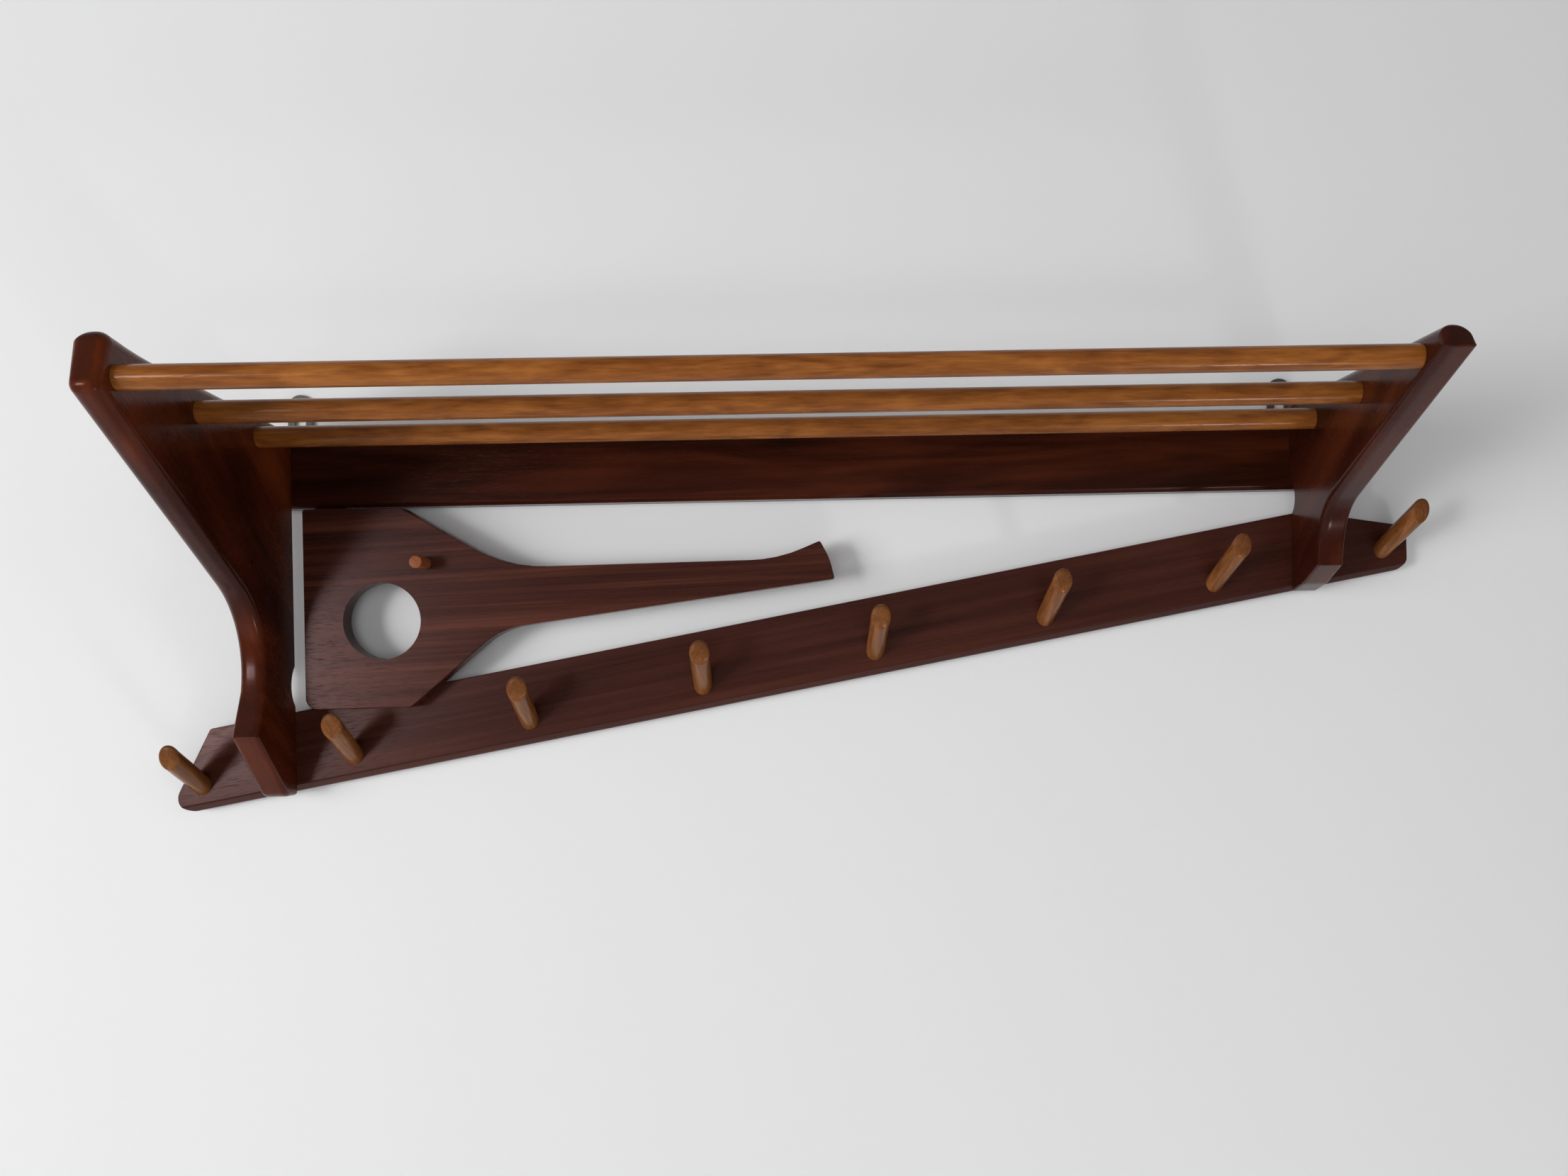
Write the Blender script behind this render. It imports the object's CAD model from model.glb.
import bmesh
import bpy
from math import ceil, cos, pi, radians, sin, sqrt, tan
from mathutils import Matrix, Vector


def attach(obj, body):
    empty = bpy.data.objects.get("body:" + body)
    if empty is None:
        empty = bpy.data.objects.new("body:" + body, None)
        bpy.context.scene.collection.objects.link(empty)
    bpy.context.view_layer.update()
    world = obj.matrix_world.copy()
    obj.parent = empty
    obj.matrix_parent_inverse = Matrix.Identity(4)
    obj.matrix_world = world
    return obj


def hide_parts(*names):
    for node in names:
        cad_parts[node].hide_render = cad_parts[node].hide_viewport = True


# Wall coat rack. X runs to the right, Y into the wall, Z up, and the wall is Y = 0.
# Shapes are made in millimetres and turned into metres when a piece is finished.
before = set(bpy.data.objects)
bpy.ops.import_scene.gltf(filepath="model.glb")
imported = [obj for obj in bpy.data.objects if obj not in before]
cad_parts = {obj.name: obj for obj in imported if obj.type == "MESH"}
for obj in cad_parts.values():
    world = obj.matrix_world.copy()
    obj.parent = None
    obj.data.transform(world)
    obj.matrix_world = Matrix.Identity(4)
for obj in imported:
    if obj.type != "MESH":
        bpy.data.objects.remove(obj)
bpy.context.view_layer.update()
print("scene: frame loaded,", len(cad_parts), "nodes")

rack = {
    "clear": 800,        # between the brackets
    "board": 16,         # thickness of rail, board and batten
    "railHeight": 60,
    "bracket": 20,       # thickness of the brackets
    "tilt": 10,          # slant of the peg board, degrees
    "boardDrop": 90.5,   # board's upper edge under the rail at mid width
    "boardWidth": 62,
    "leftRun": 82,       # board beyond the left bracket
    "rightRun": 75,      # board beyond the right bracket
    "gap": 0.1,          # clearance of pieces in their holes
}
make = {
    "arcStep": 7,        # degrees between the points of a rounded corner
    "ringStep": 6,       # the same on the brackets
    "easeFrom": 30,      # edges that bend more than this are eased, degrees
    "sharpFrom": 32,     # edges that bend more than this stay sharp to the eye, degrees
    "backWithin": 1,     # nearer the wall than this, an edge belongs to the back
    "weld": 0.001,       # points nearer than this become one
    "bracketWeld": 0.005, "plateWeld": 0.01,
}
over = 1                 # how far cutters stand out of the wood
halfClear = rack["clear"] / 2
outerX = halfClear + rack["bracket"]
centreX = halfClear + rack["bracket"] / 2
railLow = -rack["railHeight"] / 2
railTop = rack["railHeight"] / 2
slope = tan(radians(rack["tilt"]))
boardTall = rack["boardWidth"] / cos(radians(rack["tilt"]))


def boardTop(x):
    return railLow - rack["boardDrop"] + slope * x


def boardFoot(x):
    return boardTop(x) - boardTall


# Shapes

def cornerArms(points, i):
    # directions from corner i to its neighbours, and half the angle between them
    before = (points[i - 1] - points[i]).normalized()
    after = (points[(i + 1) % len(points)] - points[i]).normalized()
    return before, after, before.angle(after) / 2


def inWall(y):
    # turns a point of the wall's plane into space, at depth y
    return lambda u, v: Vector((u, y, v))


def startFace(corners, place):
    # a flat face through corners (u, v, radius), each rounded by a vertex bevel
    bm = bmesh.new()
    verts = [bm.verts.new(place(u, v)) for u, v, r in corners]
    bm.faces.new(verts)
    points = [Vector((u, v)) for u, v, r in corners]
    for i, vert in enumerate(verts):
        radius = corners[i][2]
        if radius <= 0:
            continue
        half = cornerArms(points, i)[2]
        steps = max(2, ceil((pi - 2 * half) / radians(make["arcStep"])))
        # this profile makes the bevel a true arc
        bmesh.ops.bevel(bm, geom=[vert], offset=radius / tan(half), offset_type="OFFSET",
                        affect="VERTICES", segments=steps, material=-1,
                        profile=(1 - 0.5 / (1 + sin(half))) ** 2)
    return bm


def thicken(bm, move):
    made = bmesh.ops.extrude_face_region(bm, geom=bm.faces[:])
    moved = [g for g in made["geom"] if isinstance(g, bmesh.types.BMVert)]
    bmesh.ops.translate(bm, verts=moved, vec=move)
    bmesh.ops.recalc_face_normals(bm, faces=bm.faces)


def cornerEdges(bm):
    limit = radians(make["easeFrom"])
    return [e for e in bm.edges if len(e.link_faces) == 2 and e.calc_face_angle(0) > limit]


def frontEdges(bm):
    # all but the edges around the back face, which lies against the wall
    return [e for e in cornerEdges(bm) if any(v.co.y < -make["backWithin"] for v in e.verts)]


def easeEdges(bm, edges, width):
    bmesh.ops.bevel(bm, geom=edges, offset=width, offset_type="OFFSET", affect="EDGES",
                    segments=2, profile=0.5, material=-1)


def standAt(place, axis):
    # brings the origin to a place and Z onto an axis
    turn = Vector((0, 0, 1)).rotation_difference(axis).to_matrix().to_4x4()
    return Matrix.Translation(place) @ turn


def addRod(bm, start, axis, radius, length, sides=64):
    # a round bar from start along axis
    axis = Vector(axis).normalized()
    bmesh.ops.create_cone(bm, cap_ends=True, segments=sides, radius1=radius, radius2=radius,
                          depth=length, matrix=standAt(Vector(start) + axis * length / 2, axis))


def addSpin(bm, profile, start, axis, sides=48):
    # a turned shape from (radius, height) points, which start and end on the axis
    axis = Vector(axis).normalized()
    place = standAt(start, axis)
    verts = [bm.verts.new(place @ Vector((r, 0, h))) for r, h in profile]
    edges = [bm.edges.new(pair) for pair in zip(verts, verts[1:])]
    bmesh.ops.spin(bm, geom=verts + edges, cent=Vector(start), axis=axis, angle=2 * pi,
                   steps=sides, use_merge=True)
    bmesh.ops.remove_doubles(bm, verts=bm.verts, dist=make["weld"])
    bmesh.ops.recalc_face_normals(bm, faces=bm.faces)


def addObject(name, data):
    item = bpy.data.objects.new(name, data)
    bpy.context.scene.collection.objects.link(item)
    return item


def meshObject(name, bm, scale=0.001):
    bmesh.ops.scale(bm, vec=(scale, scale, scale), verts=bm.verts)
    mesh = bpy.data.meshes.new(name)
    bm.to_mesh(mesh)
    bm.free()
    return addObject(name, mesh)


def cutAway(piece, bm):
    # takes the cutters' volume from a piece
    cutter = meshObject(piece.name + "Cutter", bm)
    boolean = piece.modifiers.new("holes", "BOOLEAN")
    boolean.operation = "DIFFERENCE"
    boolean.solver = "EXACT"
    boolean.object = cutter
    bpy.context.view_layer.update()
    seen = piece.evaluated_get(bpy.context.evaluated_depsgraph_get())
    mesh = bpy.data.meshes.new_from_object(seen)
    piece.modifiers.clear()
    old, piece.data = piece.data, mesh
    bpy.data.meshes.remove(old)
    bpy.data.objects.remove(cutter)


def finishPiece(piece, material, nodes):
    mesh = piece.data
    mesh.materials.clear()
    mesh.materials.append(material)
    for face in mesh.polygons:
        face.use_smooth = True
    mesh.set_sharp_from_angle(angle=radians(make["sharpFrom"]))
    weighted = piece.modifiers.new("flat faces", "WEIGHTED_NORMAL")
    weighted.keep_sharp = True
    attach(piece, "root")
    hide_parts(*nodes)


# Materials

def tone(red, green, blue):
    # a screen colour, 0 to 255, as light values
    return tuple(((c / 255 + 0.055) / 1.055) ** 2.4 if c > 10 else c / 255 / 12.92
                 for c in (red, green, blue)) + (1.0,)


def feed(tree, socket, value):
    if isinstance(value, Wire):
        tree.links.new(value.socket, socket)
    else:
        socket.default_value = value


class Wire:
    # a socket that takes part in sums
    def __init__(self, tree, socket):
        self.tree = tree
        self.socket = socket

    def maths(self, operation, *others):
        node = self.tree.nodes.new("ShaderNodeMath")
        node.operation = operation
        for socket, value in zip(node.inputs, (self, *others)):
            feed(self.tree, socket, value)
        return Wire(self.tree, node.outputs[0])

    def __add__(self, other):
        return self.maths("ADD", other)

    def __radd__(self, other):
        return self.maths("ADD", other)

    def __sub__(self, other):
        return self.maths("SUBTRACT", other)

    def __mul__(self, other):
        return self.maths("MULTIPLY", other)


class Finish:
    # a material under construction
    def __init__(self, name):
        self.material = bpy.data.materials.new(name)
        self.material.use_nodes = True
        self.tree = self.material.node_tree
        self.tree.nodes.clear()

    def add(self, kind, settings=None, inputs=None, output=0):
        node = self.tree.nodes.new("ShaderNode" + kind)
        for key, value in (settings or {}).items():
            if key == "stops":
                ramp = node.color_ramp
                while len(ramp.elements) < len(value):
                    ramp.elements.new(1.0)
                for element, (position, colour) in zip(ramp.elements, value):
                    element.position = position
                    element.color = colour
            else:
                setattr(node, key, value)
        for key, value in (inputs or {}).items():
            feed(self.tree, node.inputs[key], value)
        return Wire(self.tree, node.outputs[output])

    def spot(self):
        # the object's own coordinates, in metres
        return self.add("TexCoord", output=3)

    def blend(self, amount, first, second):
        return self.add("Mix", {"data_type": "RGBA"}, {0: amount, 6: first, 7: second}, output=2)

    def turned(self, kind, vector, turn, **more):
        return self.add("Mapping", {"vector_type": kind},
                        {"Vector": vector, "Rotation": [radians(a) for a in turn], **more})

    def noise(self, vector, scale, detail, rough, twist=0.0):
        # noise with its own scale on each axis, in waves a metre
        scaled = self.add("VectorMath", {"operation": "MULTIPLY"}, {0: vector, 1: scale})
        return self.add("TexNoise", None, {"Vector": scaled, "Scale": 1.0, "Detail": detail,
                                           "Roughness": rough, "Distortion": twist})

    def step(self, value, low, high):
        return self.add("MapRange", {"interpolation_type": "SMOOTHSTEP"},
                        {"Value": value, "From Min": low, "From Max": high})

    def bump(self, strength, depth, height):
        return self.add("Bump", None, {"Strength": strength, "Distance": depth, "Height": height})

    def close(self, shader):
        output = self.tree.nodes.new("ShaderNodeOutputMaterial")
        self.tree.links.new(shader.socket, output.inputs["Surface"])
        return self.material


# fine grain that all the woods share
fineGrain = {
    # scale, detail and roughness
    "fibre": ((60, 1500, 1500), 2.0, 0.6), "pore": ((110, 2600, 2600), 1.0, 0.5),
    "rings": ((400, 700, 700), 3.0, 0.6),
    # detail, roughness and, for the streaks, twist; each wood has its own scales
    "figure": (2.0, 0.5), "streak": (4.0, 0.6, 0.2),
    "poreFrom": 0.60, "poreTo": 0.72, "ringShare": 0.6, "endTo": 0.97,
    "streakHeight": 0.35, "fibreHeight": 0.25, "poreHeight": 0.8,
    "bump": 0.25, "depth": 0.00012,
    "streakRough": 0.12, "poreRough": 0.12, "endRough": 0.15, "bending": 1.45,
}


def wood(name, turn, looks, place=(0, 0, 0)):
    # turn brings the grain's direction onto X, in degrees
    f = Finish(name)
    fine = fineGrain
    grain = f.turned("POINT", f.spot(), turn, Location=place)
    figure = f.noise(grain, looks["figure"], *fine["figure"], looks["wave"])
    streak = f.noise(grain, looks["streak"], *fine["streak"])
    fibre = f.noise(grain, *fine["fibre"])
    pore = f.step(f.noise(grain, *fine["pore"]), fine["poreFrom"], fine["poreTo"])
    streakShare = looks["streakShare"]
    fibreShare = looks["fibreShare"]
    value = figure * (1 - streakShare - fibreShare) + streak * streakShare + fibre * fibreShare
    value = f.step(value, looks["low"], looks["high"])
    colour = f.add("ValToRGB", {"stops": [(0.0, looks["dark"]), (0.5, looks["mid"]),
                                          (1.0, looks["light"])]}, {0: value})
    colour = f.blend(pore * looks["pores"], colour, looks["poreColour"])
    # end grain has tones of its own and is duller
    along = f.turned("NORMAL", f.add("NewGeometry", output=1), turn)
    ends = f.add("SeparateXYZ", None, {0: along}).maths("ABSOLUTE")
    ends = f.step(ends, looks["endFrom"], fine["endTo"])
    rings = f.noise(grain, *fine["rings"])
    endColour = f.blend(rings * fine["ringShare"], looks["endDark"], looks["endLight"])
    colour = f.blend(ends * looks["endShare"], colour, endColour)
    height = (streak * fine["streakHeight"] + fibre * fine["fibreHeight"]
              - pore * fine["poreHeight"])
    roughness = (looks["rough"] + (streak - 0.5) * fine["streakRough"]
                 + pore * fine["poreRough"] + ends * fine["endRough"])
    return f.close(f.add("BsdfPrincipled", None, {
        "Base Color": colour, "Roughness": roughness, "IOR": fine["bending"],
        "Normal": f.bump(fine["bump"], fine["depth"], height),
        "Specular IOR Level": looks["gloss"], "Specular Tint": looks["sheen"]}))


dark = {
    "dark": tone(34, 10, 4), "mid": tone(64, 23, 10), "light": tone(94, 40, 18),
    "poreColour": tone(20, 8, 6), "pores": 0.3,
    "endDark": tone(30, 14, 10), "endLight": tone(52, 26, 20), "endShare": 0.7,
    "endFrom": 0.75,
    "figure": (5, 16, 16), "wave": 0.9, "streak": (9, 200, 200), "streakShare": 0.16,
    "fibreShare": 0.08, "low": 0.24, "high": 0.76, "rough": 0.19, "gloss": 0.25,
    "sheen": tone(255, 220, 220),
}
leftLooks = dict(dark, mid=tone(74, 28, 10), light=tone(108, 48, 18))
rightLooks = dict(dark, mid=tone(52, 19, 9), light=tone(76, 33, 16))
boardLooks = dict(dark, dark=tone(40, 16, 10), mid=tone(57, 26, 18), light=tone(76, 38, 27),
                  figure=(2, 34, 34), streak=(5, 210, 210), streakShare=0.4, low=0.17, high=0.83,
                  rough=0.28, gloss=0.35)
panelLooks = dict(dark, dark=tone(28, 10, 6), mid=tone(58, 26, 17), light=tone(90, 48, 33),
                  figure=(2.5, 40, 40), streak=(4, 260, 260), streakShare=0.5, low=0.2, high=0.8,
                  rough=0.28, gloss=0.35)
railLooks = dict(dark, dark=tone(20, 7, 3), mid=tone(52, 20, 9), light=tone(74, 31, 14),
                 figure=(3.5, 22, 34), wave=1.4, streak=(6, 160, 160), streakShare=0.25)
rodLooks = {
    "dark": tone(94, 50, 16), "mid": tone(131, 76, 31), "light": tone(160, 99, 44),
    "poreColour": tone(62, 32, 18), "pores": 0.45,
    "endDark": tone(80, 48, 32), "endLight": tone(110, 74, 52), "endShare": 0.6,
    "endFrom": 0.75,
    "figure": (16, 60, 60), "wave": 1.2, "streak": (34, 340, 340), "streakShare": 0.4,
    "fibreShare": 0.15, "low": 0.25, "high": 0.75, "rough": 0.2, "gloss": 0.35,
    "sheen": tone(255, 226, 214),
}
pegLooks = dict(rodLooks, dark=tone(86, 48, 22), mid=tone(114, 68, 33), light=tone(142, 90, 48),
                figure=(9, 120, 120), streak=(30, 520, 520), gloss=0.28, endFrom=0.5,
                endDark=tone(70, 40, 22), endLight=tone(98, 62, 38))
dowelLooks = dict(pegLooks, dark=tone(102, 54, 30), mid=tone(134, 75, 44),
                  light=tone(158, 94, 56), endDark=tone(110, 62, 36), endLight=tone(148, 90, 58))
metalLooks = {
    "cloud": ((120, 120, 120), 3.0, 0.6), "brush": ((3000, 3000, 160), 2.0, 0.5),
    "cloudFrom": 0.35, "cloudTo": 0.75, "cloudRough": 0.15,
    "tarnish": tone(120, 118, 112), "tarnishShare": 0.5, "bump": 0.2, "depth": 0.00005,
}


def metal(name, colour, rough):
    f = Finish(name)
    m = metalLooks
    cloud = f.noise(f.spot(), *m["cloud"])
    brush = f.noise(f.spot(), *m["brush"])
    share = f.step(cloud, m["cloudFrom"], m["cloudTo"]) * m["tarnishShare"]
    return f.close(f.add("BsdfPrincipled", None, {
        "Base Color": f.blend(share, colour, m["tarnish"]), "Metallic": 1.0,
        "Roughness": rough + cloud * m["cloudRough"],
        "Normal": f.bump(m["bump"], m["depth"], brush)}))


darkLeft = wood("darkWoodLeft", (40, 0, -90), leftLooks)
darkRight = wood("darkWoodRight", (30, 0, -90), rightLooks, (0.3, 0.2, 0))
boardWood = wood("boardWood", (0, rack["tilt"], 0), boardLooks)
panelWood = wood("panelWood", (0, 2, 0), panelLooks)
railWood = wood("railWood", (0, 1, 0), railLooks)
battenWood = wood("battenWood", (0, 90, 0), railLooks)
rodWood = wood("rodWood", (0, 0, 0), rodLooks)
pegWood = wood("pegWood", (-150, 0, -90), pegLooks)
dowelWood = wood("dowelWood", (0, 0, -90), dowelLooks)
zinc = metal("zincSteel", tone(128, 128, 126), 0.5)
screwSteel = metal("screwSteel", tone(184, 180, 168), 0.36)
print("scene: materials ready")


# Screws, and the places that they take from the plates and the panel

screws = {
    "diameter": {"bracket": 4.5, "panel": 3.5, "hanger": 3},
    "length": {"bracket": 42, "panel": 26, "hanger": 12},
    "headShare": 2,      # head diameter over shank diameter
    "rim": 1,            # wood between a screw and a hanger plate
    "soft": 0.15, "sides": 32, "holeSides": 24,
    "bracketIn": 16,     # from the board's upper edge
    "railShare": 0.6, "footShare": 1.4,     # the other bracket screws, over bracketIn
    "battenIn": 32, "panelUp": 5.5,
    "asideShare": 2.4,   # the panel's lower screw from the panel's foot, over panelUp
    "hangerIn": 9,
    # cross recess: turns in degrees, length over head radius, depth and width over diameter
    "crossTurns": (40, 130), "crossLong": 1.15, "crossDeep": 0.7, "crossWide": 0.2,
}
hanger = {
    "inside": 2,         # centre inside the bracket's inner face
    "width": 20, "thick": 2, "length": 66, "above": 33, "ease": 0.3,
    "eyeWidth": 8.5, "eyeLength": 24, "eyeRim": 4.75,
}
hangerX = halfClear - hanger["inside"]
hangerTop = railTop + hanger["above"]
hangerLow = hangerTop - hanger["length"]
# a bracket's upper screw keeps clear of the round end of the hanger plate
headReach = (hanger["width"] / 2 + screws["diameter"]["bracket"] * screws["headShare"] / 2
             + screws["rim"])
highScrewZ = (hangerLow + hanger["width"] / 2
              - sqrt(max(0, headReach ** 2 - (centreX - hangerX) ** 2)))

panel = {
    "gap": 15, "drop": 2.5, "length": 414, "thick": 16, "flat": 76, "foot": 81, "lap": 0.5,
    "root": 152, "rootLean": 6, "handleTop": 48.5, "handleTall": 48, "handleRise": 2,
    "tipRise": 16, "tipRun": 34, "tipDrop": 14.5, "tipLean": 11,
    "crispRound": 2, "shoulderRound": 4, "bladeRound": 9,
    "handleRound": 110, "underRound": 60, "endRound": 50,
    "holeD": 60, "holeIn": 60, "holeDrop": 88.5, "holeSides": 96, "ease": 0.8,
}
batten = {"in": 3, "width": 18, "ease": 0.5}
panelLeft = -halfClear + panel["gap"]
panelTop = railLow - panel["drop"]
panelLow = boardTop(panelLeft) - panel["lap"]
battenX = panelLeft + batten["in"]
battenMid = battenX + batten["width"] / 2


def bracketScrews(side):
    x = side * centreX
    heights = (railLow + screws["railShare"] * screws["bracketIn"], highScrewZ,
               boardTop(x) - screws["bracketIn"],
               boardFoot(x) + screws["footShare"] * screws["bracketIn"])
    return [(x, z) for z in heights]


panelScrews = [(battenMid, railLow - screws["battenIn"]),
               (battenMid, boardTop(battenMid) + screws["battenIn"]),
               (panelLeft + panel["foot"] - screws["asideShare"] * screws["panelUp"],
                panelLow + screws["panelUp"])]


def hangerScrews(side):
    return [(side * hangerX, hangerLow + screws["hangerIn"]),
            (side * hangerX, railTop - screws["hangerIn"])]


def addScrewHoles(bm, places, kind):
    diameter = screws["diameter"][kind]
    head = diameter * screws["headShare"] / 2 + rack["gap"]
    shank = diameter / 2 + rack["gap"]
    end = -screws["length"][kind] - rack["gap"]
    for x, z in places:
        addSpin(bm, [(0, over), (head, over), (head, 0), (shank, shank - head), (shank, end),
                     (0, end)], (x, 0, z), (0, 1, 0), screws["holeSides"])


def makeScrews(name, places, kind, nodes):
    diameter = screws["diameter"][kind]
    length = screws["length"][kind]
    head = diameter * screws["headShare"] / 2
    shank = diameter / 2
    soft = screws["soft"]
    bm = bmesh.new()
    for x, z in places:
        addSpin(bm, [(0, 0), (head - soft, 0), (head, -soft), (shank, -head + shank),
                     (shank, -length + diameter), (0, -length)], (x, 0, z), (0, 1, 0),
                screws["sides"])
    piece = meshObject(name, bm)
    for turn in screws["crossTurns"]:
        slot = bmesh.new()
        for x, z in places:
            place = Matrix.Translation((x, 0, z)) @ Matrix.Rotation(radians(turn), 4, "Y")
            size = Matrix.Diagonal((head * screws["crossLong"], diameter * screws["crossDeep"],
                                    diameter * screws["crossWide"], 1))
            bmesh.ops.create_cube(slot, size=1, matrix=place @ size)
        bmesh.ops.recalc_face_normals(slot, faces=slot.faces)
        cutAway(piece, slot)
    finishPiece(piece, screwSteel, nodes)


makeScrews("bracketScrews", bracketScrews(-1) + bracketScrews(1), "bracket", ["bracket_screws"])
makeScrews("panelScrews", panelScrews, "panel", ["panel_screws"])
makeScrews("hangerScrews", hangerScrews(-1) + hangerScrews(1), "hanger", ["hanger_screws"])
print("scene: screws made")

# Hat rods

rods = {
    "diameter": 16, "seat": 10, "rise": 2.7, "rearZ": 48.5, "ease": 0.8, "sides": 72,
    "out": {"rear_rod": 67.5, "middle_rod": 150, "front_rod": 242},
}


def rodHeight(out):
    rear = rods["out"]["rear_rod"]
    return railLow + rods["rearZ"] + (out - rear) * tan(radians(rods["rise"]))


for node, out in rods["out"].items():
    bm = bmesh.new()
    addRod(bm, (-halfClear - rods["seat"] + rack["gap"], -out, rodHeight(out)), (1, 0, 0),
           rods["diameter"] / 2, rack["clear"] + 2 * rods["seat"] - 2 * rack["gap"],
           rods["sides"])
    easeEdges(bm, cornerEdges(bm), rods["ease"])
    finishPiece(meshObject(node.replace("_r", "R"), bm), rodWood, [node])

# Side brackets

bracket = {
    "leftTipOut": 263, "leftTip": 85, "leftTipTall": 38, "leftLean": 11, "tipRound": 8,
    "turnOut": 215, "turnZ": 77, "turnRound": 200,
    "leftRear": 61, "leftWaistOut": 53, "leftWaistDrop": 96, "leftWaistRound": 75,
    "leftNoseOut": 77, "leftNoseDrop": 176, "noseRound": 0.9,
    "leftToe": 16, "toeRise": -0.5, "toeRound": 14, "footDrop": 2,
    # hollow over the board, the last three as shares of its length
    "hollowDeep": 15, "hollowLong": 51, "hollowFrom": 0.08, "hollowMid": 0.4, "hollowRound": 0.43,
    "rightTipOut": 274, "rightTip": 70, "rightTipTall": 14.5, "rightLean": 4, "rightRear": 71,
    "beakRound": 4, "beakLowRound": 1.4,
    "rightWaistOut": 79, "rightWaistDrop": 25, "rightWaistRound": 50,
    "rightNoseOut": 69, "rightNoseDrop": 65, "rightToe": -5,
    "bellyOut": 38, "belly": 3.5, "bellyRound": 40,
    "rightHollowDeep": 8, "rightHollowRound": 13, "rightHollowLift": 2,
    "rightHollowReach": 1.75,   # its corner before rounding, over its depth
    "pilotOut": 81, "pilotDrop": 45.5, "pilotD": 4, "pilotDeep": 8, "pilotSides": 24,
    "depths": [0, 0.15, 0.5, 1, 1.7, 2.6, 3.7, 5, 6.5],   # outlines near each face
    "midDepths": [8.2, 10, 11.8],
}
# widths of the brackets' softened edges
ease = {
    "inner": 6.5, "tipInner": 8, "beakInner": 5.5,
    "leftOuter": 7.5, "rightOuter": 2.2, "tipOuter": 4, "beakOuter": 3,
    "underTop": 0.6,     # outer side, where the upper edge has its large rounding
    "leftTop": 10, "rightTop": 12,          # that rounding
    "crisp": 1.8, "toe": 4, "rear": 2, "hollow": 3,
    "fadeFrom": 38, "fadeTo": 8,            # softness fades this far ahead of a nose
    "least": 0.05,       # smallest radius that a softened corner keeps
}
leftEdge = boardTop(-centreX)
hollowZ = (railLow + boardTop(centreX)) / 2 + bracket["rightHollowLift"]
hollowHalf = 2 * bracket["rightHollowRound"]

leftTop = [(0, railLow + bracket["leftRear"]),
           (-bracket["turnOut"], railLow + bracket["turnZ"]),
           (-bracket["leftTipOut"] + bracket["leftLean"], railLow + bracket["leftTip"])]
rightTop = [(0, railLow + bracket["rightRear"]),
            (-bracket["rightTipOut"] + bracket["rightLean"], railLow + bracket["rightTip"])]
# corners: y, z, radius, inner softening, outer softening
leftCorners = [
    (*leftTop[0], 0, ease["inner"], ease["underTop"]),
    (*leftTop[1], bracket["turnRound"], ease["inner"], ease["underTop"]),
    (*leftTop[2], bracket["tipRound"], ease["tipInner"], ease["tipOuter"]),
    (-bracket["leftTipOut"], railLow + bracket["leftTip"] - bracket["leftTipTall"],
     bracket["tipRound"], ease["tipInner"], ease["leftOuter"]),
    (-bracket["leftWaistOut"], railLow - bracket["leftWaistDrop"],
     bracket["leftWaistRound"], ease["inner"], ease["leftOuter"]),
    (-bracket["leftNoseOut"], railLow - bracket["leftNoseDrop"],
     bracket["noseRound"], ease["crisp"], ease["crisp"]),
    (-rack["board"] - bracket["leftToe"], boardFoot(-centreX) + bracket["toeRise"],
     bracket["toeRound"], ease["toe"], ease["toe"]),
    (0, boardFoot(-centreX) - bracket["footDrop"], 0, ease["rear"], ease["rear"]),
    (0, leftEdge - bracket["hollowLong"] * bracket["hollowFrom"], 0, ease["rear"], ease["rear"]),
    (-rack["board"] - bracket["hollowDeep"],
     leftEdge + bracket["hollowLong"] * bracket["hollowMid"],
     bracket["hollowLong"] * bracket["hollowRound"], ease["hollow"], ease["hollow"]),
    (0, leftEdge + bracket["hollowLong"], 0, ease["rear"], ease["rear"])]
rightNoseZ = railLow - bracket["rightNoseDrop"]
rightFoot = boardFoot(centreX) + bracket["rightToe"]
rightUnder = rightNoseZ - bracket["belly"] + (
    1 - bracket["bellyOut"] / bracket["rightNoseOut"]) * (rightFoot - rightNoseZ)
rightCorners = [
    (*rightTop[0], 0, ease["inner"], ease["underTop"]),
    (*rightTop[1], bracket["beakRound"], ease["inner"], ease["beakOuter"]),
    (-bracket["rightTipOut"], railLow + bracket["rightTip"] - bracket["rightTipTall"],
     bracket["beakLowRound"], ease["beakInner"], ease["rightOuter"]),
    (-bracket["rightWaistOut"], railLow - bracket["rightWaistDrop"],
     bracket["rightWaistRound"], ease["inner"], ease["rightOuter"]),
    (-bracket["rightNoseOut"], rightNoseZ, bracket["noseRound"], ease["crisp"], ease["crisp"]),
    (-bracket["bellyOut"], rightUnder, bracket["bellyRound"], ease["crisp"], ease["crisp"]),
    (0, rightFoot, 0, ease["crisp"], ease["crisp"]),
    (0, hollowZ - hollowHalf, 0, ease["rear"], ease["rear"]),
    (-rack["board"] - bracket["rightHollowReach"] * bracket["rightHollowDeep"], hollowZ,
     bracket["rightHollowRound"], ease["hollow"], ease["rear"]),
    (0, hollowZ + hollowHalf, 0, ease["rear"], ease["rear"])]


def quarter(radius, depth):
    # how far a rounded edge draws the outline in at a depth under the face
    return 0 if depth >= radius else radius - sqrt(radius ** 2 - (radius - depth) ** 2)


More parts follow.
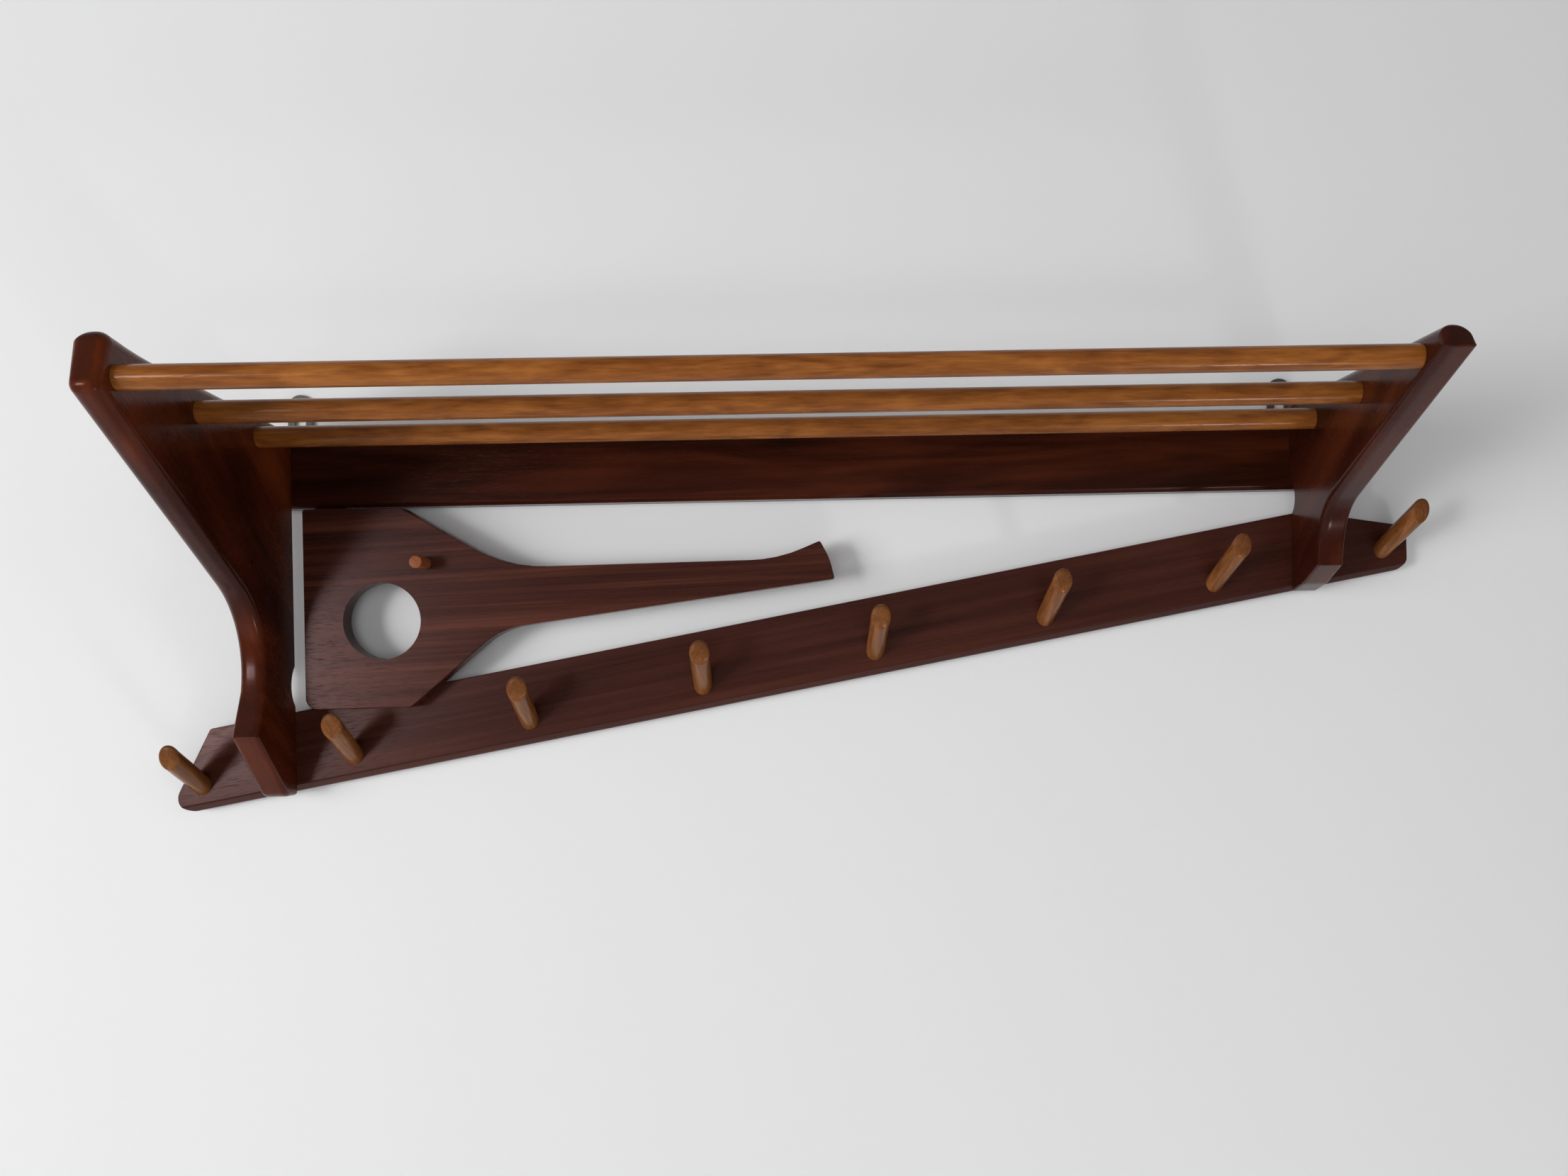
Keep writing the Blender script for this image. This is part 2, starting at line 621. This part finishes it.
def bracketRing(corners, depth):
    # a bracket's outline at a depth under its inner face, with the wood on the left
    ring = []
    points = [Vector(c[:2]) for c in corners]
    draws = [quarter(c[3], depth) + quarter(c[4], rack["bracket"] - depth) for c in corners]
    for i, (point, draw) in enumerate(zip(points, draws)):
        radius = corners[i][2]
        before, after, half = cornerArms(points, i)
        inward = (before + after).normalized()
        place = point + inward * draw / sin(half)
        if radius <= 0:
            ring.append(place)
            continue
        sweep = pi - 2 * half
        steps = max(2, ceil(sweep / radians(make["ringStep"])))
        if before.cross(after) < 0:
            left = max(radius - draw, ease["least"])
            spreads = [left] * (steps + 1)
            middle = place + inward * left / sin(half)
        else:
            # after a hollow the softness fades to that of the next corner
            reach = (points[i + 1] - point).length - radius / tan(half)
            paths = [reach + radius * sweep * (1 - k / steps) for k in range(steps + 1)]
            fade = ease["fadeFrom"] - ease["fadeTo"]
            shares = [min(1, max(0, (ease["fadeFrom"] - path) / fade)) for path in paths]
            change = draws[i + 1] - draw
            spreads = [radius + draw + change * t * t * (3 - 2 * t) for t in shares]
            middle = point + inward * radius / sin(half)
        arm = before / tan(half) - inward / sin(half)
        turn = 1 if arm.cross(after - before) > 0 else -1
        for k, spread in enumerate(spreads):
            ring.append(middle + Matrix.Rotation(turn * sweep * k / steps, 2) @ arm * spread)
    return ring


def topHeight(path, y):
    # height of the upper edge at a place along its path
    for (firstY, firstZ), (nextY, nextZ) in zip(path, path[1:]):
        if y > nextY or (nextY, nextZ) == path[-1]:
            return firstZ + (y - firstY) * (nextZ - firstZ) / (nextY - firstY)


def makeBracket(name, corners, topPath, topRound, side, material, node):
    # a loft of outlines from the inner face to the outer one
    inner = side * halfClear
    bm = bmesh.new()
    farDepths = [rack["bracket"] - depth for depth in reversed(bracket["depths"])]
    rings = []
    for depth in bracket["depths"] + bracket["midDepths"] + farDepths:
        ring = []
        for y, z in bracketRing(corners, depth):
            # the wood at the outer upper edge is drawn down to a large rounding
            low = topHeight(topPath, y) - topRound
            if z > low:
                z = low + (z - low) * (1 - quarter(topRound, rack["bracket"] - depth) / topRound)
            ring.append(bm.verts.new((inner + side * depth, y, z)))
        rings.append(ring)
    for ring, following in zip(rings, rings[1:]):
        for k in range(len(ring)):
            bm.faces.new((ring[k - 1], ring[k], following[k], following[k - 1]))
    caps = [bm.faces.new(rings[0]), bm.faces.new(rings[-1])]
    bm.normal_update()
    bmesh.ops.triangulate(bm, faces=caps)
    # the rear edge is cut flat where it meets the rail and the board
    cut = bmesh.ops.bisect_plane(bm, geom=bm.verts[:] + bm.edges[:] + bm.faces[:],
                                 dist=make["weld"], plane_co=(0, -rack["board"], 0),
                                 plane_no=(0, 1, 0), clear_outer=True)
    rim = [g for g in cut["geom_cut"] if isinstance(g, bmesh.types.BMEdge)]
    bmesh.ops.holes_fill(bm, edges=rim, sides=0)
    bmesh.ops.remove_doubles(bm, verts=bm.verts, dist=make["bracketWeld"])
    bmesh.ops.recalc_face_normals(bm, faces=bm.faces)
    piece = meshObject(name, bm)
    holes = bmesh.new()
    for out in rods["out"].values():
        addRod(holes, (inner - side * over, -out, rodHeight(out)), (side, 0, 0),
               rods["diameter"] / 2 + rack["gap"], rods["seat"] + over + rack["gap"])
    addScrewHoles(holes, bracketScrews(side), "bracket")
    if side < 0:
        addRod(holes, (inner + over, -bracket["pilotOut"], railLow - bracket["pilotDrop"]),
               (-1, 0, 0), bracket["pilotD"] / 2, bracket["pilotDeep"] + over,
               bracket["pilotSides"])
    cutAway(piece, holes)
    finishPiece(piece, material, [node])


makeBracket("leftBracket", leftCorners, leftTop, ease["leftTop"], -1, darkLeft, "left_bracket")
makeBracket("rightBracket", rightCorners, rightTop, ease["rightTop"], 1, darkRight,
            "right_bracket")
print("scene: rods and brackets made")

# Back rail

rail = {"bevel": 3, "ease": 0.8}
bm = startFace([(0, railLow, 0), (0, railTop, 0), (-rack["board"], railTop, 0),
                (-rack["board"], railLow + rail["bevel"], 0),
                (-rack["board"] + rail["bevel"], railLow, 0)],
               lambda u, v: Vector((-outerX, u, v)))
thicken(bm, (2 * outerX, 0, 0))
easeEdges(bm, frontEdges(bm), rail["ease"])
upperRail = meshObject("upperRail", bm)
holes = bmesh.new()
for side in (-1, 1):
    addScrewHoles(holes, bracketScrews(side)[:2], "bracket")
    addScrewHoles(holes, hangerScrews(side), "hanger")
cutAway(upperRail, holes)


def plateFace(x, width, low, high, y):
    # a long shape with round ends, in the wall's plane
    half = width / 2
    radius = half - make["weld"]
    ends = [(x - half, low), (x - half, high), (x + half, high), (x + half, low)]
    bm = startFace([(u, v, radius) for u, v in ends], inWall(y))
    bmesh.ops.remove_doubles(bm, verts=bm.verts, dist=make["plateWeld"])
    return bm


for side in (-1, 1):
    recess = plateFace(side * hangerX, hanger["width"] + 2 * rack["gap"], hangerLow - rack["gap"],
                       hangerTop + rack["gap"], over)
    thicken(recess, (0, -hanger["thick"] - over, 0))
    cutAway(upperRail, recess)
finishPiece(upperRail, railWood, ["upper_rail"])

# Hanger plates

for side, node in ((-1, "left_hanger"), (1, "right_hanger")):
    x = side * hangerX
    bm = plateFace(x, hanger["width"], hangerLow, hangerTop, 0)
    thicken(bm, (0, -hanger["thick"], 0))
    easeEdges(bm, cornerEdges(bm), hanger["ease"])
    plate = meshObject(node.replace("_h", "H"), bm)
    eyeTop = hangerTop - hanger["eyeRim"]
    eye = plateFace(x, hanger["eyeWidth"], eyeTop - hanger["eyeLength"], eyeTop, over)
    thicken(eye, (0, -hanger["thick"] - 2 * over, 0))
    cutAway(plate, eye)
    holes = bmesh.new()
    addScrewHoles(holes, hangerScrews(side), "hanger")
    cutAway(plate, holes)
    finishPiece(plate, zinc, [node])
print("scene: rail and hangers made")

# Peg board and pegs

boardShape = {
    "leftLean": 29, "rightFall": 9, "bevel": 5, "ease": 1,
    "corner": 11,        # a third of it at the upper left, three times as much at the bend
    "beyond": 20,        # how far the bevel's cutter runs past the board's left end
}
pegs = {
    "seatD": 14.6, "tipD": 15.5, "out": 62, "tilt": 30, "seat": 9, "up": 20,
    "end": 20, "in": 45, "outerIn": 28, "mouth": 1, "flareSteps": 8, "clear": 12,
    "endRound": 5, "endStep": 10, "dome": 0.3,  # rounded end, in steps of so many degrees
    "endCut": 41, "cutLong": 26,                # the end's slant, and how far back it tells
    "swing": (0, 2, 3, 3.5, 4.5, 7, 9, 11.5),   # each peg's own turn to the right
}
pegNumbers = range(1, len(pegs["swing"]) + 1)
boardLeft = -outerX - rack["leftRun"]
boardRight = outerX + rack["rightRun"]
leftEndX = boardLeft + boardTall * tan(radians(boardShape["leftLean"]))
pegUp = Vector((0, sin(radians(pegs["tilt"])), cos(radians(pegs["tilt"]))))


def pegPlace(i):
    # the first peg is outside the left bracket, the others stand at equal steps
    first = -halfClear + pegs["in"]
    last = boardRight - pegs["end"]
    step = (last - first) / (len(pegs["swing"]) - 2)
    x = boardLeft + pegs["outerIn"] if i < 2 else first + (i - 2) * step
    return Vector((x, -rack["board"], boardFoot(x) + pegs["up"] / cos(radians(rack["tilt"]))))


def pegAxis(i):
    turn = radians(pegs["swing"][i - 1])
    return Vector((1, 0, 0)) * sin(turn) + Vector((1, 0, 0)).cross(pegUp) * cos(turn)


corner = boardShape["corner"]
rightZ = boardTop(centreX) - (boardRight - centreX) * tan(radians(boardShape["rightFall"]))
bm = startFace([(leftEndX, boardTop(leftEndX), corner / 3),
                (centreX, boardTop(centreX), 3 * corner), (boardRight, rightZ, corner),
                (boardRight, boardFoot(boardRight), corner),
                (boardLeft, boardFoot(boardLeft), corner)], inWall(0))
thicken(bm, (0, -rack["board"], 0))
lowerBoard = meshObject("lowerBoard", bm)
# bevel along the lower front edge
lean = radians(rack["tilt"])
beyond = boardShape["beyond"]
start = Vector((boardLeft - beyond, 0, boardFoot(boardLeft - beyond)))
bevel = boardShape["bevel"]
strip = startFace([(-rack["board"] - over, bevel + over, 0), (-rack["board"] - over, -2 * over, 0),
                   (-rack["board"] + bevel + 2 * over, -2 * over, 0)],
                  lambda u, v: start + Vector((-v * sin(lean), u, v * cos(lean))))
thicken(strip, Vector((cos(lean), 0, sin(lean))) * (boardRight - boardLeft + 3 * beyond))
cutAway(lowerBoard, strip)
bm = bmesh.new()
bm.from_mesh(lowerBoard.data)
bmesh.ops.scale(bm, vec=(1000, 1000, 1000), verts=bm.verts)
easeEdges(bm, frontEdges(bm), boardShape["ease"])
bpy.data.objects.remove(lowerBoard)
lowerBoard = meshObject("lowerBoard", bm)
holes = bmesh.new()
for side in (-1, 1):
    addScrewHoles(holes, bracketScrews(side)[2:], "bracket")
addScrewHoles(holes, panelScrews[2:], "panel")
for i in pegNumbers:
    addRod(holes, pegPlace(i) - pegAxis(i) * pegs["seat"], pegAxis(i),
           pegs["seatD"] / 2 + rack["gap"], pegs["seat"] + pegs["clear"])
cutAway(lowerBoard, holes)
finishPiece(lowerBoard, boardWood, ["lower_board"])

pegRadius = pegs["seatD"] / 2
tipRadius = pegs["tipD"] / 2
soft = pegs["endRound"]
mouth = pegRadius * tan(radians(pegs["tilt"])) + pegs["mouth"]
flare = [k / pegs["flareSteps"] for k in range(pegs["flareSteps"] + 1)]
profile = [(0, -pegs["seat"]), (pegRadius, -pegs["seat"])]
profile += [(pegRadius + (tipRadius - pegRadius) * t, mouth + (pegs["out"] - soft - mouth) * t)
            for t in flare]
profile += [(tipRadius - soft * (1 - cos(radians(a))), pegs["out"] - soft * (1 - sin(radians(a))))
            for a in range(pegs["endStep"], 91, pegs["endStep"])]
profile += [(0, pegs["out"] + pegs["dome"])]
for i in pegNumbers:
    bm = bmesh.new()
    addSpin(bm, profile, pegPlace(i), pegAxis(i))
    # the end is cut back below
    for v in bm.verts:
        arm = v.co - pegPlace(i)
        share = max(0, 1 - (pegs["out"] - arm.dot(pegAxis(i))) / pegs["cutLong"])
        v.co -= pegAxis(i) * (tipRadius - arm.dot(pegUp)) * tan(radians(pegs["endCut"])) * share
    finishPiece(meshObject(f"coatPeg{i}", bm), pegWood, [f"peg_{i}"])
print("scene: board and pegs made")

# Bat shaped panel, its dowel and its batten

dowel = {"diameter": 10, "in": 94, "drop": 44, "out": 21, "seat": 10, "soft": 1}
panelRight = panelLeft + panel["length"]
handleZ = panelTop - panel["handleTop"]
panelCorners = [
    (panelLeft, panelTop, panel["crispRound"]),
    (panelLeft + panel["flat"], panelTop, panel["shoulderRound"]),
    (panelLeft + panel["root"] + panel["rootLean"], handleZ, panel["handleRound"]),
    (panelRight - panel["tipRun"] - panel["tipLean"], handleZ + panel["handleRise"],
     panel["handleRound"]),
    (panelRight - panel["tipLean"], handleZ + panel["tipRise"], panel["crispRound"]),
    (panelRight - panel["tipLean"] / 3, handleZ + panel["handleRise"], panel["endRound"]),
    (panelRight, handleZ - panel["tipDrop"], panel["crispRound"]),
    (panelLeft + panel["root"], handleZ - panel["handleTall"], panel["underRound"]),
    (panelLeft + panel["foot"], panelLow, panel["shoulderRound"]),
    (panelLeft, panelLow, panel["bladeRound"])]
bm = startFace(panelCorners, inWall(-rack["board"]))
thicken(bm, (0, -panel["thick"], 0))
easeEdges(bm, cornerEdges(bm), panel["ease"])
batPanel = meshObject("batPanel", bm)
dowelPlace = Vector((panelLeft + dowel["in"], -rack["board"] - panel["thick"],
                     panelTop - dowel["drop"]))
holes = bmesh.new()
addRod(holes, (panelLeft + panel["holeIn"], -rack["board"] + over, panelTop - panel["holeDrop"]),
       (0, -1, 0), panel["holeD"] / 2, panel["thick"] + 2 * over, panel["holeSides"])
addRod(holes, dowelPlace + Vector((0, dowel["seat"] + rack["gap"], 0)), (0, -1, 0),
       dowel["diameter"] / 2 + rack["gap"], dowel["seat"] + 2 * over)
addScrewHoles(holes, panelScrews, "panel")
cutAway(batPanel, holes)
finishPiece(batPanel, panelWood, ["panel"])

bm = bmesh.new()
radius = dowel["diameter"] / 2
soft = dowel["soft"]
addSpin(bm, [(0, -dowel["seat"]), (radius, -dowel["seat"]), (radius, dowel["out"] - soft),
             (radius - 0.3 * soft, dowel["out"] - 0.3 * soft), (radius - soft, dowel["out"]),
             (0, dowel["out"])], dowelPlace, (0, -1, 0))
finishPiece(meshObject("panelDowel", bm), dowelWood, ["panel_dowel"])

right = battenX + batten["width"]
bm = startFace([(battenX, railLow, 0), (right, railLow, 0), (right, boardTop(right), 0),
                (battenX, boardTop(battenX), 0)], inWall(0))
thicken(bm, (0, -rack["board"], 0))
easeEdges(bm, cornerEdges(bm), batten["ease"])
panelBatten = meshObject("panelBatten", bm)
holes = bmesh.new()
addScrewHoles(holes, panelScrews[:2], "panel")
cutAway(panelBatten, holes)
finishPiece(panelBatten, battenWood, ["panel_batten"])
print("scene: panel made")

# Wall, floor, light and camera

studio = {
    "wallTone": tone(222, 222, 223), "wallBehind": 0.001,
    "floorTone": tone(226, 225, 222), "floorZ": -1.75, "planeSize": 4,
    "cloud": ((3, 3, 3), 2.0, 0.5), "cloudTone": tone(190, 192, 192), "cloudShare": 0.05,
    "rough": 0.9,
    "clearWithin": 0.004,   # what lies nearer a plane than this looks through it
    "skyStrength": 0.19, "skyTone": (0.97, 0.98, 1.0, 1.0),
}


def stagePlane(name, place, turn, colour):
    # a plane that shows only from its front
    bm = bmesh.new()
    bmesh.ops.create_grid(bm, x_segments=1, y_segments=1, size=studio["planeSize"])
    bmesh.ops.rotate(bm, verts=bm.verts, matrix=Matrix.Rotation(radians(turn), 3, "X"))
    bmesh.ops.translate(bm, verts=bm.verts, vec=place)
    plane = meshObject(name, bm, 1)
    f = Finish(name + "Paint")
    cloud = f.noise(f.spot(), *studio["cloud"])
    shade = f.blend(cloud * studio["cloudShare"], colour, studio["cloudTone"])
    paint = f.add("BsdfPrincipled", None, {"Base Color": shade, "Roughness": studio["rough"]})
    clear = f.add("BsdfTransparent")
    # the rack's back, which lies against the wall, gets its light through it
    near = f.add("LightPath", output=8).maths("LESS_THAN", studio["clearWithin"])
    hidden = f.add("NewGeometry", output=6).maths("MAXIMUM", near)
    plane.data.materials.append(f.close(f.add("MixShader", None, {0: hidden, 1: paint, 2: clear})))


stagePlane("wall", (0, studio["wallBehind"], 0), 90, studio["wallTone"])
stagePlane("floor", (0, -studio["planeSize"], studio["floorZ"]), 0, studio["floorTone"])

# place, target, power, size and whether the varnish mirrors it: the broad lights only
# soften the shadows
lamps = {
    "windowLight": ((-2.3, -2.2, -0.25), (0, 0, -0.1), 51, 1.6, False),
    "fillLight": ((1.7, -2.1, 0.5), (0, 0, -0.1), 4, 1.2, False),
    "roomLight": ((0.1, -2.4, -0.1), (0, 0, -0.1), 11, 1.2, False),
    "backLight": ((0.5, 2.0, 0.9), (0, 0, -0.1), 30, 1.2, False),
    "paneLight": ((-1.75, -2.35, -0.2), (0, 0, -0.1), 16, 0.55, True),
    "lowLight": ((0.85, -0.95, -1.5), (0.1, 0, -0.1), 3.6, 0.21, True),
}
for name, (place, target, power, size, mirrored) in lamps.items():
    light = bpy.data.lights.new(name, "AREA")
    light.energy = power
    light.size = size
    lamp = addObject(name, light)
    lamp.location = place
    lamp.rotation_euler = (Vector(target) - Vector(place)).to_track_quat("-Z", "Y").to_euler()
    lamp.visible_glossy = mirrored
world = bpy.data.worlds.new("sky")
world.use_nodes = True
sky = world.node_tree.nodes["Background"].inputs
sky["Color"].default_value = studio["skyTone"]
sky["Strength"].default_value = studio["skyStrength"]
bpy.context.scene.world = world
bpy.context.scene.view_settings.view_transform = "Standard"

view = {
    "place": (0.039, -0.984, -0.136), "turn": (90.38, 1.31, -1.68),
    "sensor": 36.0, "lens": 27.667, "shift": (-0.0637, 0.0210), "from": 0.01,
}
lensData = bpy.data.cameras.new("camera")
lensData.sensor_width = view["sensor"]
lensData.lens = view["lens"]
lensData.shift_x, lensData.shift_y = view["shift"]
lensData.clip_start = view["from"]
camera = addObject("camera", lensData)
camera.location = view["place"]
camera.rotation_euler = [radians(a) for a in view["turn"]]
bpy.context.scene.camera = camera

bpy.context.view_layer.update()
print("scene: finished")
